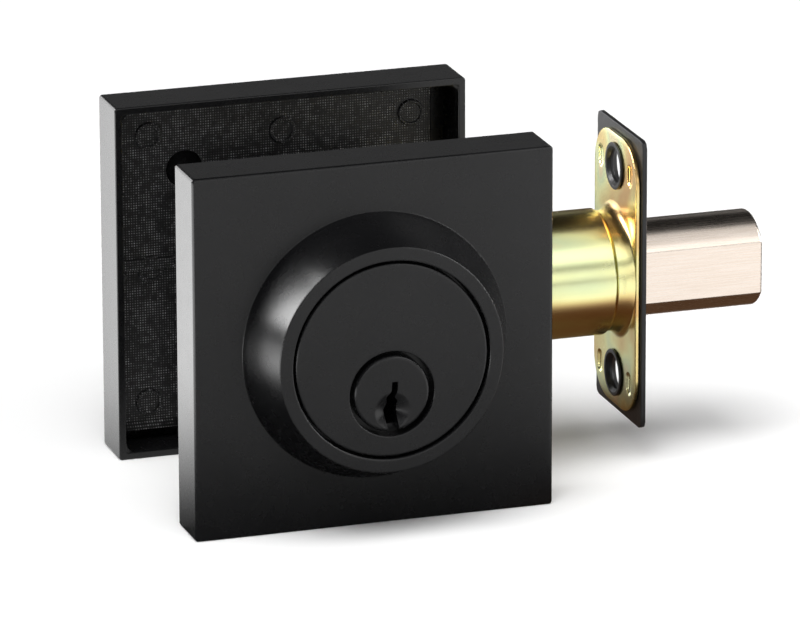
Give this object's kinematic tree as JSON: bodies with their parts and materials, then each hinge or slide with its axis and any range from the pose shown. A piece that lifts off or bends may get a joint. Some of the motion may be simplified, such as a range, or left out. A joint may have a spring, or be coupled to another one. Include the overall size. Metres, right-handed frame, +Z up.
{
  "type": "deadbolt door lock",
  "caption": "Square satin black deadbolt door lock: keyed cylinder outside, sliding latch bolt through the door's edge, thumb turn on the inside cover.",
  "frame": {"origin": "centre of the door's cross bore, on the door's outside face", "axes": "+X towards the door's edge, the way the bolt is thrown; +Y from the outside of the door to the inside, square to both plates; +Z up"},
  "size_m": [0.1207, 0.0935, 0.07],
  "materials": {
    "satin_black": "satin",
    "black_steel": "satin",
    "yellow_zinc": "iridescent yellow zinc plate",
    "satin_nickel": "satin nickel plate",
    "bright_zinc": "clear zinc plate",
    "cast_zinc": "as cast",
    "brass": "turned",
    "spring_steel": "drawn wire and strip",
    "hard_steel": "ground",
    "dark_plastic": "fine textured"
  },
  "bodies": {
    "chassis": {"exterior_escutcheon": "satin_black", "cylinder_housing": "satin_black", "interior_cover": "satin_black", "faceplate": "black_steel", "cover_set_screw": "black_steel", "bolt_tube": "yellow_zinc", "backing_plate": "yellow_zinc", "case_plate_exterior": "yellow_zinc", "case_plate_interior": "yellow_zinc", "through_bolt_left": "bright_zinc", "through_bolt_right": "bright_zinc", "bulkhead": "bright_zinc", "mounting_plate": "bright_zinc", "case_rivet_1": "bright_zinc", "case_rivet_2": "bright_zinc", "case_rivet_3": "bright_zinc", "spring_cover_strip": "brass", "driver_pin_1": "brass", "driver_pin_2": "brass", "driver_pin_3": "brass", "driver_pin_4": "brass", "driver_pin_5": "brass", "wave_washer": "spring_steel", "pin_spring_1": "spring_steel", "pin_spring_2": "spring_steel", "pin_spring_3": "spring_steel", "pin_spring_4": "spring_steel", "pin_spring_5": "spring_steel", "interior_insert": "dark_plastic"},
    "key_plug": {"key_plug": "satin_black", "plug_retainer_cap": "brass", "key_pin_1": "brass", "key_pin_2": "brass", "key_pin_3": "brass", "key_pin_4": "brass", "key_pin_5": "brass"},
    "tailpiece": {"tailpiece": "bright_zinc"},
    "cam": {"cam": "cast_zinc", "cam_pin": "hard_steel"},
    "thumbturn": {"thumbturn": "satin_black", "thumbturn_spindle": "bright_zinc", "spindle_retaining_ring": "spring_steel", "thumbturn_screw": "hard_steel"},
    "bolt": {"bolt": "satin_nickel", "tail_bar": "bright_zinc", "tail_bar_pin": "hard_steel"},
    "anti_saw_pin": {"anti_saw_pin": "hard_steel"}
  },
  "joints": [
    {"name": "thumbturn_turn", "type": "hinge", "parent": "chassis", "child": "thumbturn", "pos_m": [0, 0.055, -0.0065], "axis": [0, -1, 0], "range_deg": [0, 90]},
    {"name": "cam_turn", "type": "hinge", "parent": "chassis", "child": "cam", "pos_m": [0, 0.02, -0.0065], "axis": [0, -1, 0], "range_deg": [0, 90]},
    {"name": "tailpiece_turn", "type": "hinge", "parent": "chassis", "child": "tailpiece", "pos_m": [0, 0.025, -0.0065], "axis": [0, -1, 0], "range_deg": [0, 90]},
    {"name": "bolt_slide", "type": "slide", "parent": "chassis", "child": "bolt", "axis": [1, 0, 0], "range_m": [-0.0254, 0]},
    {"name": "key_plug_turn", "type": "hinge", "parent": "chassis", "child": "key_plug", "pos_m": [0, -0.005, -0.0065], "axis": [0, -1, 0], "range_deg": [-90, 90]},
    {"name": "anti_saw_pin_spin", "type": "hinge", "parent": "bolt", "child": "anti_saw_pin", "pos_m": [0.066, 0.02, -0.002], "axis": [1, 0, 0], "continuous": true}
  ],
  "couplings": [
    {"joint": "cam_turn", "follows": "thumbturn_turn", "ratio": 1},
    {"joint": "tailpiece_turn", "follows": "thumbturn_turn", "ratio": 1},
    {"joint": "bolt_slide", "follows": "thumbturn_turn", "m_per_rad": -0.01617}
  ]
}
